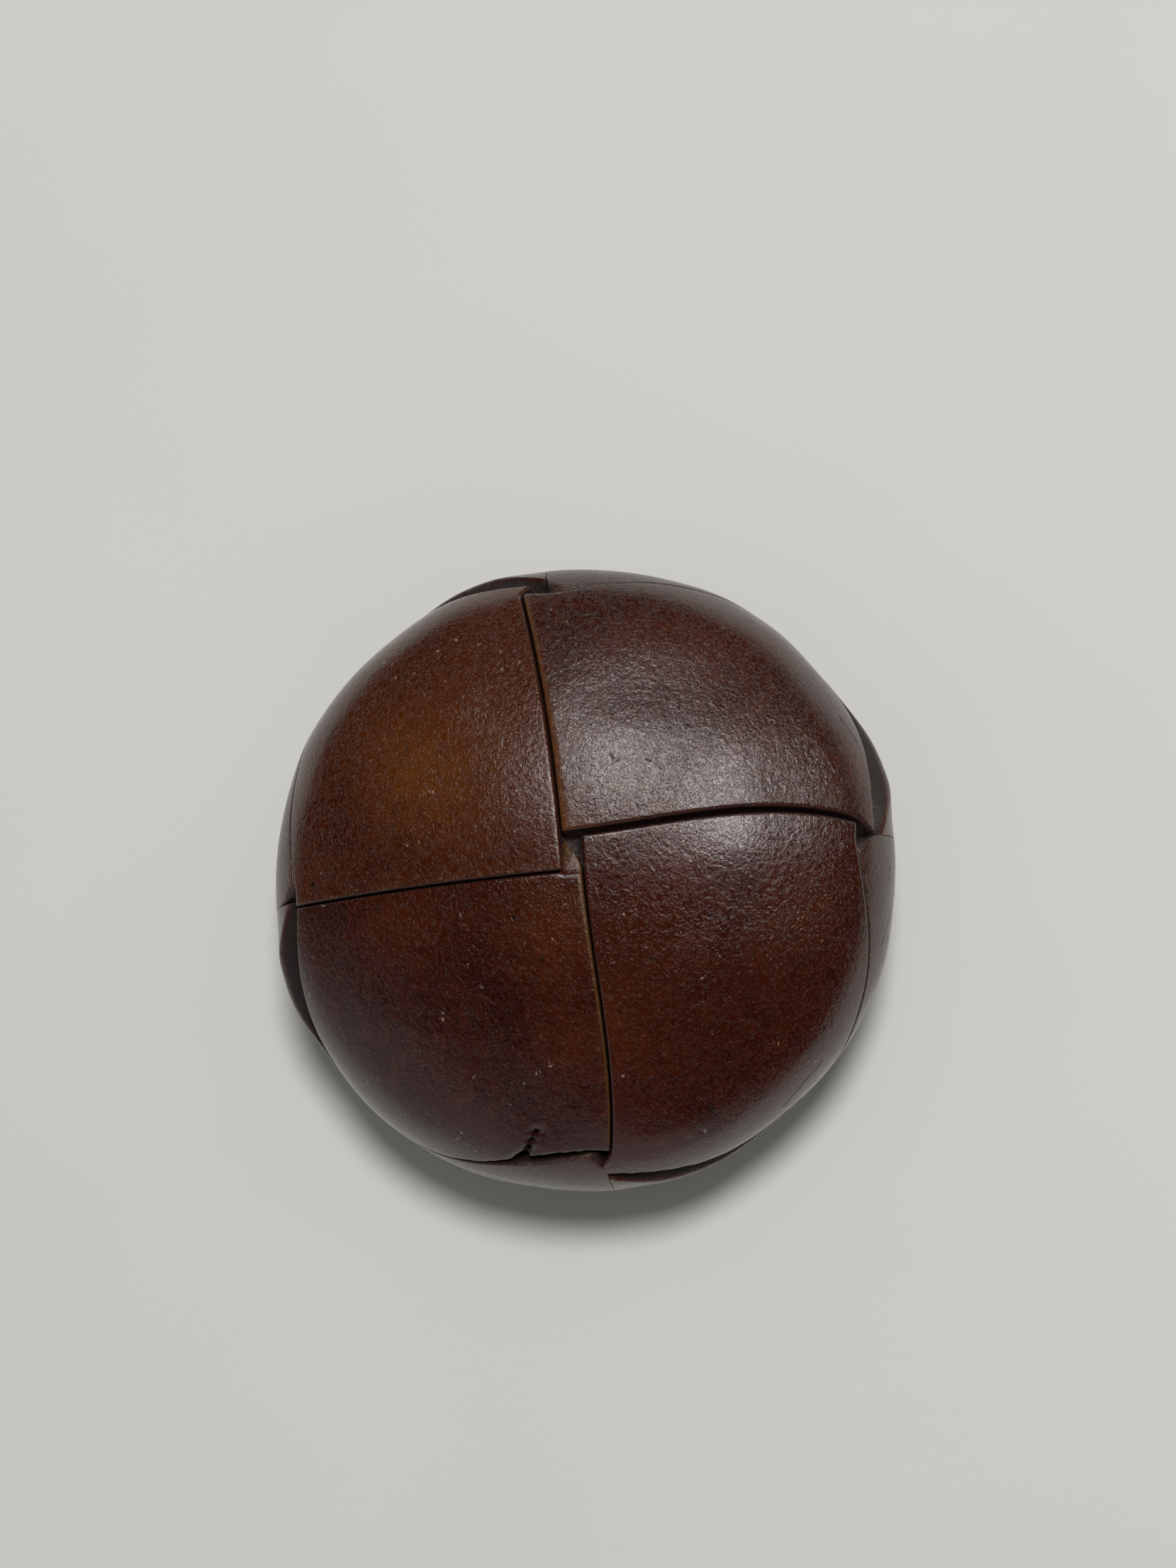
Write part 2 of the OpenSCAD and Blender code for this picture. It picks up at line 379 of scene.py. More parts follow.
    # Over the rim strip, from the back edge up to the crest, then down the slope to the free edge
    foot = free_edge(top_angle, above) - 0.06
    crest = foot + 0.13 + above["gape"] * crescent(top_angle)
    off = off_axis(top_angle)
    swell = above["gape"] * BULGE * smooth((off - 3) / 9) * (1 - smooth((off - 18) / 14))
    back_foot = back_edge(top_angle) + 0.1
    for x in np.linspace(0, 1, 7)[1:]:
        add((back_foot - 0.45 * x)[None], top_angle[None], UNDER_T * (1 - math.sqrt(1 - (1 - x) ** 2)))
    for share in np.linspace(0, 1, 26)[1:-1]:
        q_row = (back_foot - 0.45) * (1 - share) + (crest + 0.25) * share
        lift = swell * np.exp(-((q_row - crest) / 1.7) ** 2)
        add(q_row[None], top_angle[None], -lift[None])
    # The slope down to the free edge gets painted shade; it is also unburnished
    for x in np.linspace(0, 1, 18):
        q_row = (crest + 0.25) * (1 - x) + foot * x
        along = np.clip((crest - q_row + 0.25) / (crest - foot + 0.25), 0, 1)
        rounded = np.where(along < 0.2, (along / 0.2) ** 2 * 0.1, 0.1 + (along - 0.2) / 0.8 * 0.9)
        add(q_row[None], top_angle[None], ((UNDER_T + swell) * rounded - swell)[None],
            smooth((along - 0.12) / 0.15)[None])
    add(*under_face)
    rows = np.concatenate(bands, 0)
    edges = np.full((len(rows), 2), RIM_ROUND)
    edges[:len(bands[0]), 1] = EDGE_ROUND
    edges[:len(bands[0]), 0] = own["skive"] * (1 - own["fade"] * np.linspace(0, 1, len(bands[0])))
    return rows, edges


def thicken(name, rows, edges, material, replaced):
    """A closed leather solid from rows of (q, theta, depth, shade). Rows join up end to end.
    edges holds the widths of each row's left and right bevel, and the walls are slightly uneven."""
    q, theta, depth, shade = (rows[..., i] for i in range(4))
    flat = place(q, theta, depth)
    step = np.linalg.norm(np.diff(flat, axis=1), axis=-1)
    from_left = np.concatenate([np.zeros((len(rows), 1)), np.cumsum(step, 1)], 1)
    from_right = from_left[:, -1:] - from_left
    edge_near = np.minimum(from_left, from_right)
    skive, right_round = edges[:, :1], edges[:, 1:]
    on_left = np.clip(1 - from_left / skive, 0, 1)
    on_right = np.clip(1 - from_right / right_round, 0, 1)
    drop = np.minimum(skive, EDGE_ROUND)
    bevel = drop * (1 - np.sqrt(1 - on_left ** 2)) + right_round * (1 - np.sqrt(1 - on_right ** 2))
    top = place(q, theta, depth + bevel)
    wall_levels = [0.3, 0.5, 0.7, 0.9]
    bottom = place(q, theta, depth + SHEET_T - 0.5 * bevel)
    count, across = q.shape
    wall_columns = []
    for level in wall_levels:
        for side in (0, -1):
            wall_depth = depth[:, side] + SHEET_T * level
            wobble = 0.03 * wall_noise(from_left[:, -1] * 3 + np.arange(count) * 0.35, level * 9, side)
            wall = place(q[:, side], theta[:, side], wall_depth)
            wall_columns.append(wall + wobble[:, None] * [0, 0, 1])
    # One closed loop of points for each row: top left to right, right wall down, bottom back, left wall up
    rights = [wall_columns[2 * i + 1][:, None] for i in range(len(wall_levels))]
    lefts = [wall_columns[2 * i][:, None] for i in reversed(range(len(wall_levels)))]
    loop = np.concatenate([top] + rights + [bottom[:, ::-1]] + lefts, 1)
    around = loop.shape[1]
    walls = len(wall_levels)

    def spread(on_top, on_wall, on_bottom):
        """A value for each point of the loop from its values on the top, walls and bottom."""
        return np.concatenate([on_top, np.full((count, walls), on_wall),
                               np.full((count, across), on_bottom), np.full((count, walls), on_wall)], 1)

    cut = np.maximum(smooth(1.6 - 1.6 * from_left / skive), smooth(1 - from_right / 0.08))
    raw = spread(np.maximum(cut, np.clip(-shade, 0, 1)), 1.0, 1.0)
    edge = spread(np.exp(-edge_near / 0.35), 1.0, 1.0)
    # Painted shade: the slopes of the gaps, 0.6 of it on the walls, all of it on the bottom
    inner = spread(np.clip(shade, 0, 1), 0.6, 1.0)
    i, j = np.meshgrid(np.arange(count), np.arange(around), indexing="ij")
    ni, nj = (i + 1) % count, (j + 1) % around
    faces = np.stack([i * around + j, i * around + nj, ni * around + nj, ni * around + j], -1).reshape(-1, 4)
    return make_mesh(name, loop.reshape(-1, 3), faces, material, replaced,
                     dict(raw=raw.ravel(), edge=edge.ravel(), inner=inner.ravel()))


def make_mesh(name, points, faces, material, replaced, attributes):
    mesh = bpy.data.meshes.new(name)
    mesh.from_pydata((points * MM).tolist(), [], [list(face) for face in faces])
    mesh.update()
    mesh.shade_smooth()
    for key, values in attributes.items():
        mesh.attributes.new(key, "FLOAT", "POINT").data.foreach_set("value", values.astype(np.float32))
    mesh.materials.append(material)
    piece = bpy.data.objects.new(name, mesh)
    bpy.context.scene.collection.objects.link(piece)
    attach(piece, "root")
    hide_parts(replaced)
    return piece


def rim_band():
    """Rows of (q, theta, depth, shade) round the rim strip: over in each tucked eighth, under in
    each passing one. shade is painted shade on the dives and the hollows."""
    start = math.degrees(PASS_START / BUTTON_R)
    under = start + (45 - start) * np.linspace(0.002, 0.998, 24)
    over = 45 + (45 + start) * graded(66, 0.95)
    quarter = np.concatenate([under, over])
    passing = np.tile(np.arange(len(quarter)) < len(under), 4)
    to_diagonal = np.tile(np.abs(np.radians(quarter - 45)) * BUTTON_R, 4)
    to_axis = np.tile(np.radians(90 + start - quarter) * BUTTON_R, 4)
    theta = np.radians(np.concatenate([quarter + turn for turn in (0, 90, 180, 270)]))
    cross = graded(34, 0.8)
    quarter = np.degrees(theta) % 90
    hidden = smooth(quarter / 6) * (1 - smooth((quarter - 34) / 10))
    top_q = face_edge(theta) + 1.8 * hidden + 0.05 * edge_noise(np.degrees(theta) * 0.09, 3.3)
    low_q = back_edge(theta) - 0.7 * hidden
    q = top_q[:, None] * (1 - cross) + low_q[:, None] * cross
    run = DIVE + HOLLOW * (1 - smooth((q - top_q[:, None]) / HOLLOW))
    dive = np.maximum(groove(to_diagonal[:, None] + 0.05, DIVE), groove(to_axis[:, None] + 0.05, run))
    depth = np.where(passing[:, None], UNDER_T, dive)
    theta = np.broadcast_to(theta[:, None], q.shape)
    return np.stack([q, theta, depth, smooth(depth / UNDER_T / SHADE_RUN)], -1)


# ---- Shank strap ----

STRAP_W = 5.0
CROWN_HALF = 2.4                 # half the length of the strap's flat crown
SLOPE = math.radians(35)
SLOPE_L = 1.4
CROWN_BEND, LEG_BEND, FOLD_BEND = 0.9, 0.7, 0.65
DISC_T = 1.6
FOLD_Z = BACK_Z + 2.5 * LEATHER_T + 2 * LAYER_GAP + DISC_T   # height of the folded ends' middle
FOLD_L = 2.6


def bend(centre, radius, start, end, steps=14):
    angle = np.radians(np.linspace(start, end, steps))
    return np.stack([centre[0] + radius * np.cos(angle), centre[1] + radius * np.sin(angle)], -1)


def strap_path():
    """Centre line of the strap in x and z, from one folded end over the flat crown to the other."""
    degrees = math.degrees(SLOPE)
    crown = np.array([CROWN_HALF, LEATHER_T / 2 + CROWN_BEND])
    slope_end = crown + [CROWN_BEND * math.sin(SLOPE) + SLOPE_L * math.cos(SLOPE),
                         -CROWN_BEND * math.cos(SLOPE) + SLOPE_L * math.sin(SLOPE)]
    leg = slope_end + [-LEG_BEND * math.sin(SLOPE), LEG_BEND * math.cos(SLOPE)]
    fold = np.array([leg[0] + LEG_BEND + FOLD_BEND, FOLD_Z - FOLD_BEND])
    flat = np.stack([np.linspace(0, CROWN_HALF, 16)[:-1], np.full(15, LEATHER_T / 2)], -1)
    rise = bend(crown, CROWN_BEND, -90, degrees - 90)
    turn = bend(leg, LEG_BEND, degrees - 90, 0)
    over = bend(fold, FOLD_BEND, 180, 90)
    end = [[fold[0] + FOLD_L, FOLD_Z]]
    half = np.concatenate([flat, rise, turn, over, end])
    return np.concatenate([half[:0:-1] * [-1, 1], half])


def strap_section():
    """Half section loop: across, through the thickness, and the share of raw cut edge."""
    round_r = 0.16
    half_w, half_t = STRAP_W / 2, (LEATHER_T - 0.02) / 2
    across = (half_w - round_r) * (2 * graded(44, 0.7) - 1)
    corner = np.radians(np.linspace(0, 90, 6)[1:-1])
    out, up = round_r * np.sin(corner), round_r * np.cos(corner)
    points = [(y, half_t, 0.0) for y in across]
    points += [(half_w - round_r + a, half_t - round_r + b, 0.5) for a, b in zip(out, up)]
    points += [(half_w, h, 1.0) for h in np.linspace(half_t - round_r, round_r - half_t, 6)]
    points += [(half_w - round_r + a, round_r - half_t - b, 0.7) for a, b in zip(out[::-1], up[::-1])]
    points += [(y, -half_t, 0.35) for y in across[::-1]]
    points += [(-half_w + round_r - a, round_r - half_t - b, 0.7) for a, b in zip(out, up)]
    points += [(-half_w, h, 1.0) for h in np.linspace(round_r - half_t, half_t - round_r, 6)]
    points += [(-half_w + round_r - a, half_t - round_r + b, 0.5) for a, b in zip(out[::-1], up[::-1])]
    return np.array(points)


def shank_strap(material):
    path, loop = strap_path(), strap_section()
    run = np.gradient(path, axis=0)
    run /= np.linalg.norm(run, axis=1)[:, None]
    outward = np.stack([run[:, 1], -run[:, 0]], -1)
    length = np.cumsum(np.r_[0, np.linalg.norm(np.diff(path, axis=0), axis=1)])
    waver = 0.05 * edge_noise(length[:, None] * 0.8, np.sign(loop[None, :, 0]) * 2.0)
    y = loop[None, :, 0] + waver * np.abs(loop[None, :, 0]) / (STRAP_W / 2)
    lift = loop[None, :, 1]
    x = path[:, :1] + outward[:, :1] * lift
    z = path[:, 1:] + outward[:, 1:] * lift
    points = np.stack(np.broadcast_arrays(x, y, z), -1)
    points[..., 2] = np.maximum(points[..., 2], 0)
    count, around = points.shape[:2]
    faces = [(i * around + j, i * around + (j + 1) % around, (i + 1) * around + (j + 1) % around,
              (i + 1) * around + j) for i in range(count - 1) for j in range(around)]
    faces += [tuple(range(around - 1, -1, -1)), tuple(range((count - 1) * around, count * around))]
    raw = np.broadcast_to(loop[:, 2], (count, around))
    edge = np.exp(-np.abs(STRAP_W / 2 - np.abs(points[..., 1])) / 0.35)
    return make_mesh("shank_strap_leather", points.reshape(-1, 3), faces, material,
                     "shank_strap",
                     dict(raw=raw.ravel(), edge=edge.ravel(), inner=np.zeros(raw.size)))


# ---- Materials ----

class Graph:
    """Short calls for building one material's nodes."""

    def __init__(self, name):
        self.material = bpy.data.materials.new(name)
        self.material.use_nodes = True
        self.tree = self.material.node_tree
        self.tree.nodes.clear()
        coordinate = self.tree.nodes.new("ShaderNodeTexCoord")
        scale = self.tree.nodes.new("ShaderNodeVectorMath")
        scale.operation = "SCALE"
        scale.inputs["Scale"].default_value = 1 / MM
        self.tree.links.new(coordinate.outputs["Object"], scale.inputs[0])
        self.mm = scale.outputs[0]

    def link(self, source, socket):
        self.tree.links.new(source, socket)

    def noise(self, scale, detail=3.0, rough=0.55, stretch=None, distortion=0.0):
        node = self.tree.nodes.new("ShaderNodeTexNoise")
        node.inputs["Scale"].default_value = scale
        node.inputs["Detail"].default_value = detail
        node.inputs["Roughness"].default_value = rough
        node.inputs["Distortion"].default_value = distortion
        self.link(self.stretched(stretch), node.inputs["Vector"])
        return node.outputs["Fac"]

    def cells(self, scale):
        node = self.tree.nodes.new("ShaderNodeTexVoronoi")
        node.inputs["Scale"].default_value = scale
        self.link(self.mm, node.inputs["Vector"])
        return node.outputs["Distance"]

    def stretched(self, stretch):
        if stretch is None:
            return self.mm
        node = self.tree.nodes.new("ShaderNodeVectorMath")
        node.operation = "MULTIPLY"
        node.inputs[1].default_value = stretch
        self.link(self.mm, node.inputs[0])
        return node.outputs[0]

    def attribute(self, name):
        node = self.tree.nodes.new("ShaderNodeAttribute")
        node.attribute_name = name
        return node.outputs["Fac"]

    def ramp(self, value, low, high, out_low=0.0, out_high=1.0):
        node = self.tree.nodes.new("ShaderNodeMapRange")
        node.interpolation_type = "SMOOTHSTEP"
        for key, number in (("From Min", low), ("From Max", high), ("To Min", out_low), ("To Max", out_high)):
            node.inputs[key].default_value = number
        self.link(value, node.inputs["Value"])
        return node.outputs["Result"]

    def math(self, operation, a, b):
        node = self.tree.nodes.new("ShaderNodeMath")
        node.operation = operation
        for socket, value in zip(node.inputs, (a, b)):
            if isinstance(value, (int, float)):
                socket.default_value = value
            else:
                self.link(value, socket)
        return node.outputs[0]

    def mix(self, share, a, b):
        node = self.tree.nodes.new("ShaderNodeMix")
        node.data_type = "RGBA"
        for socket, value in ((node.inputs[0], share), (node.inputs[6], a), (node.inputs[7], b)):
            if isinstance(value, (int, float)):
                socket.default_value = value
            elif isinstance(value, tuple):
                socket.default_value = (*value, 1)
            else:
                self.link(value, socket)
        return node.outputs[2]

    def spot(self, centre, radius):
        """1 at a centre in millimetres, falling to 0 at the radius."""
        node = self.tree.nodes.new("ShaderNodeVectorMath")
        node.operation = "DISTANCE"
        node.inputs[1].default_value = centre
        self.link(self.mm, node.inputs[0])
        return self.ramp(node.outputs["Value"], radius, 0)

    def stroke(self, start, end, width, waver):
        """1 on the line between two points in millimetres, 0 beyond its width, with wavering sides."""
        run = Vector(end) - Vector(start)
        from_start = self.vector("SUBTRACT", self.mm, start)
        share = self.vector("DOT_PRODUCT", from_start, run, "Value")
        share = self.math("MULTIPLY", share, 1 / run.length_squared)
        share = self.math("MINIMUM", self.math("MAXIMUM", share, 0.0), 1.0)
        along = self.vector("MULTIPLY", self.joined(share), run)
        distance = self.vector("DISTANCE", from_start, along, "Value")
        distance = self.math("ADD", distance, self.math("MULTIPLY", self.ramp(waver, 0.3, 0.7), 0.6 * width))
        return self.ramp(distance, 1.6 * width, 0.6 * width)

    def joined(self, value):
        node = self.tree.nodes.new("ShaderNodeCombineXYZ")
        for socket in node.inputs:
            self.link(value, socket)
        return node.outputs[0]

    def vector(self, operation, a, b, output="Vector"):
        node = self.tree.nodes.new("ShaderNodeVectorMath")
        node.operation = operation
        for socket, value in zip(node.inputs, (a, b)):
            if isinstance(value, (tuple, Vector)):
                socket.default_value = value
            else:
                self.link(value, socket)
        return node.outputs[output]

    def bump(self, height, distance, strength, below=None):
        node = self.tree.nodes.new("ShaderNodeBump")
        node.inputs["Distance"].default_value = distance * MM
        node.inputs["Strength"].default_value = strength
        self.link(height, node.inputs["Height"])
        if below is not None:
            self.link(below, node.inputs["Normal"])
        return node.outputs["Normal"]

    def finish(self, colour, roughness, normal, coat=None, **values):
        shader = self.tree.nodes.new("ShaderNodeBsdfPrincipled")
        out = self.tree.nodes.new("ShaderNodeOutputMaterial")
        self.link(shader.outputs[0], out.inputs["Surface"])
        self.link(colour, shader.inputs["Base Color"])
        self.link(roughness, shader.inputs["Roughness"])
        self.link(normal, shader.inputs["Normal"])
        if coat is not None:
            self.link(coat, shader.inputs["Coat Weight"])
        for key, value in values.items():
            shader.inputs[key.replace("_", " ")].default_value = value
        return self.material


# Painted shade for the gaps, dives, hollows and crescent slopes; the crescent slopes are also unburnished
GAP_PAINTED_SHADE = (0.006, 0.0030, 0.0025)
CRACK = (0.006, 0.003, 0.002)
# Pale tone of dust specks, and of a painted highlight near the edges
DUST_AND_EDGE_HIGHLIGHT = (0.40, 0.31, 0.25)
EDGE_RUB = (0.085, 0.030, 0.010)


def leather(name, deep, mid, warm, cut, spots=(), strokes=(), gloss=0.165, fine=0.005):
    """Dyed and burnished grain leather: deep in the mottling, warm where it is rubbed, its own tone
    where it is cut, or painted shade there where cut is SHADE. Painted shade darkens the gaps, and dust
    and a painted highlight pale the edges. Spots are (centre, radius, tone, strength), strokes (start,
    end, width) of cracks, gloss is its roughness and fine the height of its finest grain in millimetres."""
    g = Graph(name)
    cloud = g.noise(0.28, 3)
    mottle = g.noise(1.9, 4, 0.62)
    speck = g.noise(5.5, 3, 0.6)
    pebble = g.noise(4.6, 3, 0.6, (1.0, 0.8, 1.0), 0.7)
    grain = g.noise(11.0, 3, 0.62, (1.0, 0.75, 1.0), 0.6)
    pores = g.cells(4.0)
    colour = g.mix(g.ramp(cloud, 0.34, 0.66), deep, mid)
    colour = g.mix(g.math("MULTIPLY", g.ramp(mottle, 0.45, 0.72), 0.55), colour, warm)
    colour = g.mix(g.math("MULTIPLY", g.ramp(speck, 0.50, 0.68), 0.40), colour, warm)
    for centre, radius, tone, strength in spots:
        share = g.math("MULTIPLY", g.spot(centre, radius), strength)
        share = g.math("MULTIPLY", share, g.ramp(mottle, 0.25, 0.60, 0.45, 1.0))
        colour = g.mix(share, colour, tone)
    dark = g.math("MULTIPLY", g.ramp(g.math("ADD", speck, g.math("MULTIPLY", pebble, 0.5)), 0.66, 0.52), 0.35)
    colour = g.mix(dark, colour, tuple(0.45 * v for v in deep))
    flecks = g.ramp(g.noise(6.5, 2, 0.6, (1.0, 0.75, 1.0), 1.4), 0.48, 0.56)
    pits = g.ramp(g.noise(3.1, 1, 0.5, None, 0.5), 0.735, 0.765)
    colour = g.mix(g.math("MULTIPLY", pits, 0.8), colour, tuple(0.3 * v for v in deep))
    dust = g.math("MULTIPLY", g.ramp(g.noise(2.6, 2, 0.7), 0.68, 0.73), g.ramp(g.noise(0.45, 2), 0.47, 0.6))
    near_edge = g.ramp(g.attribute("edge"), 0.25, 0.95)
    # Dust and a painted highlight in pale patches near the edges
    dust_and_highlight_edge = g.math("MULTIPLY", near_edge, g.ramp(g.noise(3.4, 3, 0.7), 0.60, 0.68))
    colour = g.mix(g.math("MULTIPLY", g.math("MAXIMUM", dust, dust_and_highlight_edge), 0.5), colour, DUST_AND_EDGE_HIGHLIGHT)
    rubbed = g.math("MULTIPLY", near_edge, g.ramp(mottle, 0.35, 0.6, 0.05, 0.40))
    colour = g.mix(rubbed, colour, EDGE_RUB)
    # cut is the raw leather's own tone, or SHADE, a painted shade, on the rear, front and rim strips
    raw = g.attribute("raw")
    colour = g.mix(g.math("MULTIPLY", raw, g.ramp(speck, 0.35, 0.6, 0.4, 1.0)), colour, cut)
    # Painted shade where inner is set: the gaps, dives, hollows, crescent slopes and walls
    inner = g.attribute("inner")
    colour = g.mix(g.math("MULTIPLY", inner, 0.85), colour, GAP_PAINTED_SHADE)
    matte = g.math("MAXIMUM", raw, inner)
    worn = g.math("ADD", g.math("MULTIPLY", inner, 0.35), g.math("MULTIPLY", raw, 0.18))
    rough = g.math("ADD", g.ramp(grain, 0.3, 0.7, gloss - 0.05, gloss + 0.08), worn)
    relief = g.bump(mottle, 0.05, 0.45)
    relief = g.bump(pebble, 0.022 + fine, 0.85, relief)
    relief = g.bump(flecks, fine, 0.9, relief)
    relief = g.bump(grain, 0.6 * fine + 0.005, 0.9, relief)
    relief = g.bump(g.math("SUBTRACT", g.ramp(pores, 0.0, 0.22), pits), 0.010, 0.6, relief)
    for start, end, width in strokes:
        crack = g.stroke(start, end, width, speck)
        colour = g.mix(g.math("MULTIPLY", crack, 0.9), colour, CRACK)
        rough = g.math("MAXIMUM", rough, g.math("MULTIPLY", crack, 0.8))
        relief = g.bump(g.math("SUBTRACT", 1.0, crack), 0.12, 0.8, relief)
    wax = g.ramp(matte, 0.0, 1.0, 0.25, 0.0)
    return g.finish(colour, rough, relief, wax, Specular_IOR_Level=1.0, Coat_Roughness=0.2)


# Tones of the dye, and SHADE, a painted shade for the cut edges and walls of the rear, front and rim strips
DEEP = (0.028, 0.0030, 0.0008)
WARM = (0.078, 0.0135, 0.0010)
RED_WARM = (0.064, 0.0090, 0.0010)
OLIVE = (0.135, 0.036, 0.0010)
TAN = (0.105, 0.042, 0.007)
SHADE = (0.022, 0.009, 0.005)


def build_materials():
    return {
        "strip_right": leather("leather_right", (0.032, 0.0052, 0.0024), (0.053, 0.0105, 0.0045), WARM,
                               (0.120, 0.036, 0.0020),
                               [((0.5, 1.0, 12.2), 1.3, OLIVE, 0.5)],
                               [((2.1, 3.95, 11.8), (2.2, 3.8, 11.85), 0.05),
                                ((2.3, 3.65, 11.85), (2.4, 3.7, 11.85), 0.045),
                                ((3.45, 3.65, 11.7), (3.6, 3.55, 11.7), 0.05),
                                ((10.85, 5.14, 8.36), (11.44, 4.04, 8.14), 0.05)], fine=0.011),
        "strip_rear": leather("leather_rear", (0.042, 0.0062, 0.0008), (0.060, 0.0110, 0.0014), WARM, SHADE,
                              [((-5.0, 4.4, 11.1), 4.6, OLIVE, 0.8), ((-3.0, 6.5, 10.9), 5.5, WARM, 0.6),
                               ((-2.0, 2.0, 12.1), 3.0, WARM, 0.5)], fine=0.007),
        "strip_left": leather("leather_left", (0.024, 0.0024, 0.0006), (0.034, 0.0038, 0.0008), RED_WARM, TAN,
                              [((-0.6, -2.6, 12.0), 3.4, WARM, 0.8), ((-0.2, -7.0, 11.2), 2.6, WARM, 0.6),
                               ((-6.5, -1.8, 10.9), 3.0, WARM, 0.5)],
                              [((-2.05, -10.1, 9.8), (-2.4, -10.7, 9.4), 0.04)]),
        "strip_front": leather("leather_front", DEEP, (0.041, 0.0048, 0.0010), RED_WARM, SHADE,
                               [((4.0, -1.5, 11.8), 4.0, WARM, 0.5), ((1.4, -6.5, 11.3), 3.0, WARM, 0.6),
                                ((8.5, -2.5, 10.3), 3.0, WARM, 0.5)],
                               [((7.3, -9.82, 7.76), (8.22, -8.94, 8.0), 0.045),
                                ((8.22, -8.94, 8.0), (8.98, -8.21, 8.01), 0.04)]),
        "shank_strap": leather("leather_strap", DEEP, (0.044, 0.0070, 0.0022), WARM, (0.062, 0.030, 0.012),
                               [((0.0, 0.0, 0.0), 2.6, OLIVE, 0.5)], gloss=0.30),
        "rim_strip": leather("leather_rim", (0.027, 0.0052, 0.0030), (0.043, 0.0090, 0.0048), WARM, SHADE, (),
                             [((12.25, -0.9, 7.7), (12.2, -1.45, 7.75), 0.05),
                              ((12.28, -2.1, 7.1), (11.65, -3.95, 7.75), 0.04),
                              ((12.3, -2.5, 6.8), (11.8, -3.95, 7.3), 0.035)], gloss=0.28),
    }


def turned_wood():
    """Pale close-grained wood with turning marks, for the former."""
    g = Graph("former_wood")
    rings = g.noise(1.2, 4, 0.6, (0.35, 2.4, 2.4), 0.4)
    fibre = g.noise(7.0, 3, 0.6, (0.12, 1.0, 1.0))
    colour = g.mix(g.ramp(rings, 0.35, 0.65), (0.42, 0.27, 0.14), (0.30, 0.17, 0.075))
    colour = g.mix(g.math("MULTIPLY", g.ramp(fibre, 0.5, 0.7), 0.4), colour, (0.19, 0.10, 0.045))
    relief = g.bump(fibre, 0.02, 0.6)
    return g.finish(colour, g.ramp(fibre, 0.3, 0.7, 0.5, 0.68), relief)


def leatherboard():
    """Pressed fibres of brown board, for the backing disc."""
    g = Graph("disc_leatherboard")
    clumps = g.noise(2.4, 4, 0.65)
    fibres = g.noise(9.0, 3, 0.7, (1.0, 0.3, 1.0), 1.2)
    colour = g.mix(g.ramp(clumps, 0.35, 0.65), (0.15, 0.085, 0.045), (0.22, 0.135, 0.075))
    colour = g.mix(g.math("MULTIPLY", g.ramp(fibres, 0.55, 0.72), 0.5), colour, (0.30, 0.20, 0.12))
    relief = g.bump(fibres, 0.03, 0.7, g.bump(clumps, 0.04, 0.5))
    return g.finish(colour, g.ramp(clumps, 0.3, 0.7, 0.72, 0.88), relief)


materials = build_materials()
for strip_name, facts in STRIPS.items():
    band, band_edges = strip_band(strip_name)
    band[..., 1] += facts["turn"] * PI / 2
    thicken(strip_name + "_leather", band, band_edges, materials[strip_name], strip_name)
ring = rim_band()
thicken("rim_strip_leather", ring, np.full((len(ring), 2), 0.08), materials["rim_strip"],
        "rim_strip")
shank_strap(materials["shank_strap"])
for node_name, finish in (("core_dome", turned_wood()), ("backing_disc", leatherboard())):
    node_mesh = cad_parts[node_name].data
    node_mesh.materials.clear()
    node_mesh.materials.append(finish)


# ---- Stage, light and camera ----

def build_floor():
    floor_r = 0.6
    mesh = bpy.data.meshes.new("floor")
    corners = [(-floor_r, -floor_r, 0), (floor_r, -floor_r, 0), (floor_r, floor_r, 0), (-floor_r, floor_r, 0)]
    mesh.from_pydata(corners, [], [(0, 1, 2, 3)])
    g = Graph("floor_paper")
    colour = g.mix(g.noise(0.05, 2), (0.74, 0.735, 0.71), (0.78, 0.775, 0.755))
    normal = g.bump(g.noise(2.5, 4, 0.6), 0.03, 0.25)
    mesh.materials.append(g.finish(colour, g.ramp(g.noise(0.2), 0, 1, 0.75, 0.85), normal))
    floor = bpy.data.objects.new("floor", mesh)
    bpy.context.scene.collection.objects.link(floor)


def aim(thing, back):
    thing.rotation_mode = "QUATERNION"
    thing.rotation_quaternion = back.to_track_quat("Z", "Y")


LAMP_MAX = 0.2                   # a lamp is round below this size, and an oblong wall above it
AIM = Vector((0, 0, 0.008))      # middle of the button, which the lamps and the camera point at


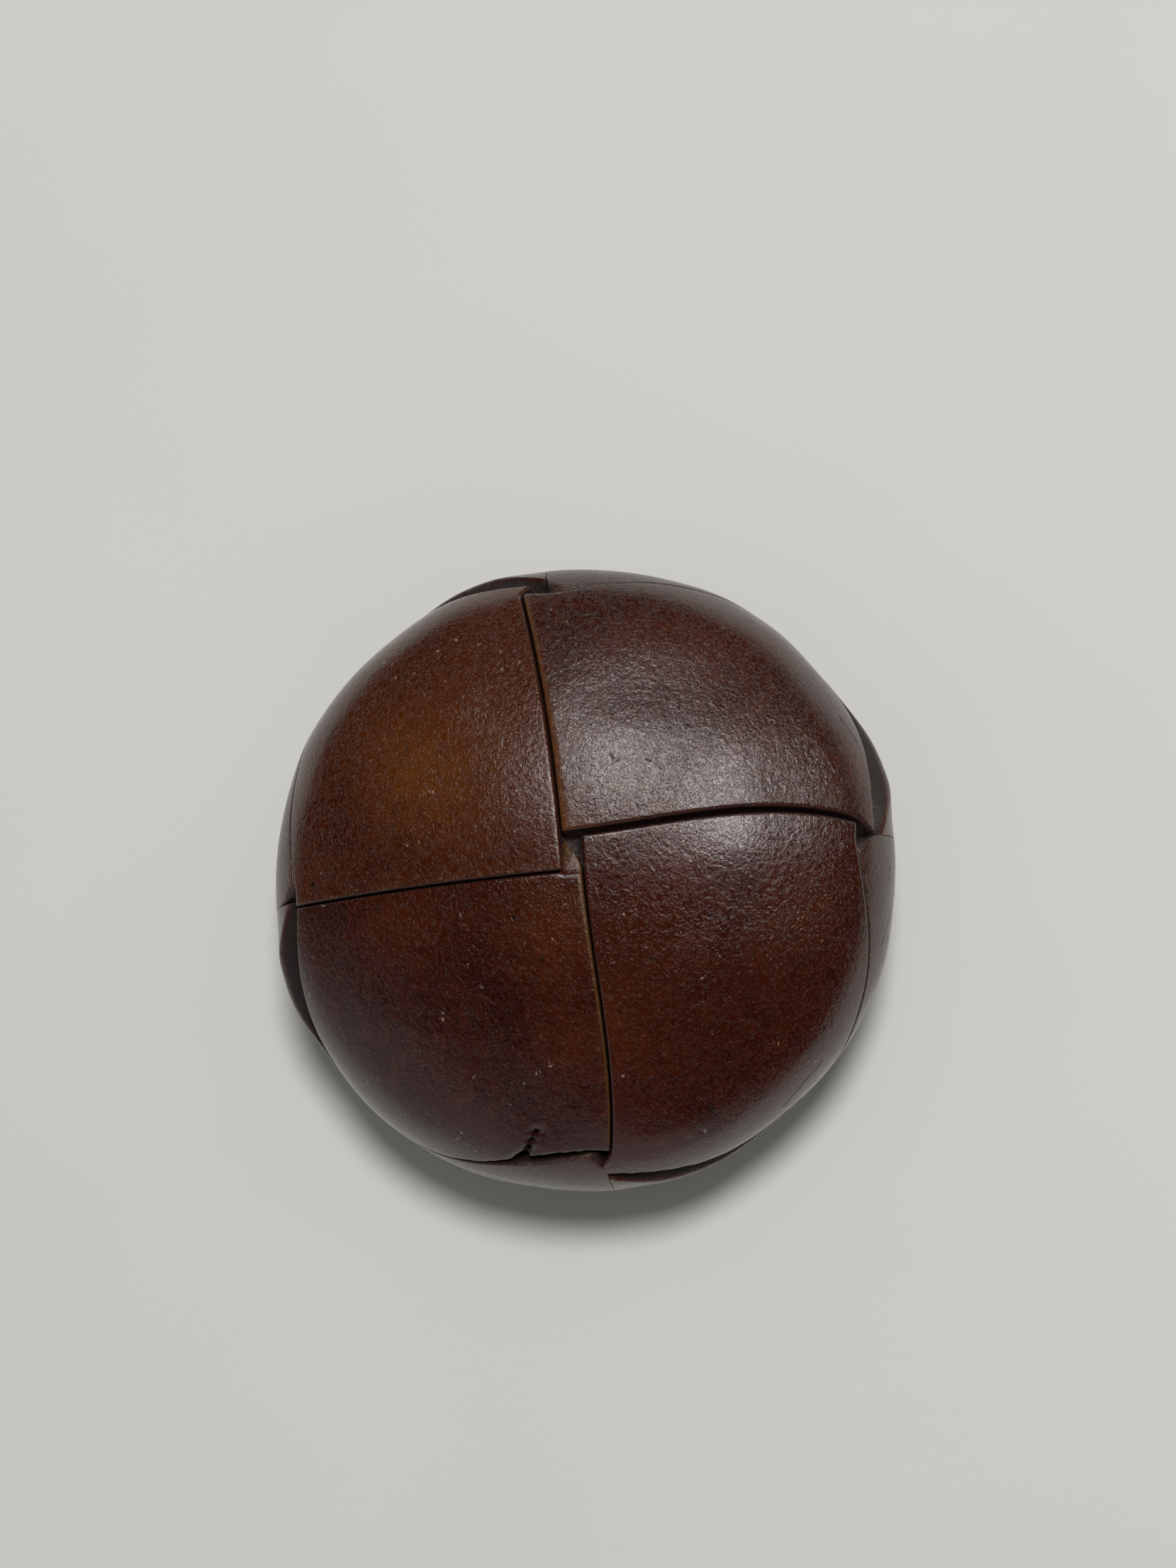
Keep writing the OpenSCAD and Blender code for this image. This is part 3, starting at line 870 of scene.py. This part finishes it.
def area_light(name, direction, distance, size, power, tone, mirrored):
    """A lamp that either lights the surfaces or is mirrored in them; size is its width and height."""
    data = bpy.data.lights.new(name, "AREA")
    data.shape = "ELLIPSE" if max(size) < LAMP_MAX else "RECTANGLE"
    data.size, data.size_y = size
    data.energy = power
    data.color = tone
    light = bpy.data.objects.new(name, data)
    light.visible_glossy = mirrored
    light.visible_diffuse = not mirrored
    bpy.context.scene.collection.objects.link(light)
    back = Vector(direction).normalized()
    light.location = AIM + back * distance
    aim(light, back)


def build_light():
    world = bpy.data.worlds.new("studio")
    bpy.context.scene.world = world
    world.use_nodes = True
    background = world.node_tree.nodes["Background"]
    background.inputs["Color"].default_value = (0.99, 1.0, 0.97, 1)
    background.inputs["Strength"].default_value = 0.19
    world.cycles_visibility.glossy = False
    warm, cool, neutral = (1.0, 0.96, 0.94), (0.92, 0.96, 1.0), (1.0, 0.99, 0.96)
    near, far = 0.30, 0.50
    area_light("window", (0.15, 0.19, 0.97), near, (0.065, 0.065), 0.60, neutral, mirrored=False)
    area_light("sheen", (0.48, 0.29, 0.83), near, (0.105, 0.105), 0.195, warm, mirrored=True)
    area_light("second sheen", (0.07, 0.48, 0.87), near, (0.115, 0.14), 0.225, warm, mirrored=True)
    area_light("low wall", (-0.48, -0.83, 0.32), far, (1.5, 0.38), 0.50, cool, mirrored=True)
    bpy.context.scene.view_settings.view_transform = "Standard"


def build_camera():
    azimuth, elevation, roll = (math.radians(v) for v in (37.6, 78.8, -4.44))
    distance = 0.120
    across, upward = 0.000407, 0.003498
    back = Vector((math.sin(azimuth) * math.cos(elevation), -math.cos(azimuth) * math.cos(elevation),
                   math.sin(elevation)))
    right = Vector((0, 1, 0)).cross(back).normalized()
    up = back.cross(right)
    right, up = (right * math.cos(roll) + up * math.sin(roll), up * math.cos(roll) - right * math.sin(roll))
    data = bpy.data.cameras.new("camera")
    data.lens = 69.6
    data.sensor_width = 36
    data.clip_start = 0.005
    camera = bpy.data.objects.new("camera", data)
    bpy.context.scene.collection.objects.link(camera)
    place_at = AIM + right * across + up * upward + back * distance
    camera.matrix_world = Matrix.Translation(place_at) @ Matrix((right, up, back)).transposed().to_4x4()
    bpy.context.scene.camera = camera


build_floor()
build_light()
build_camera()
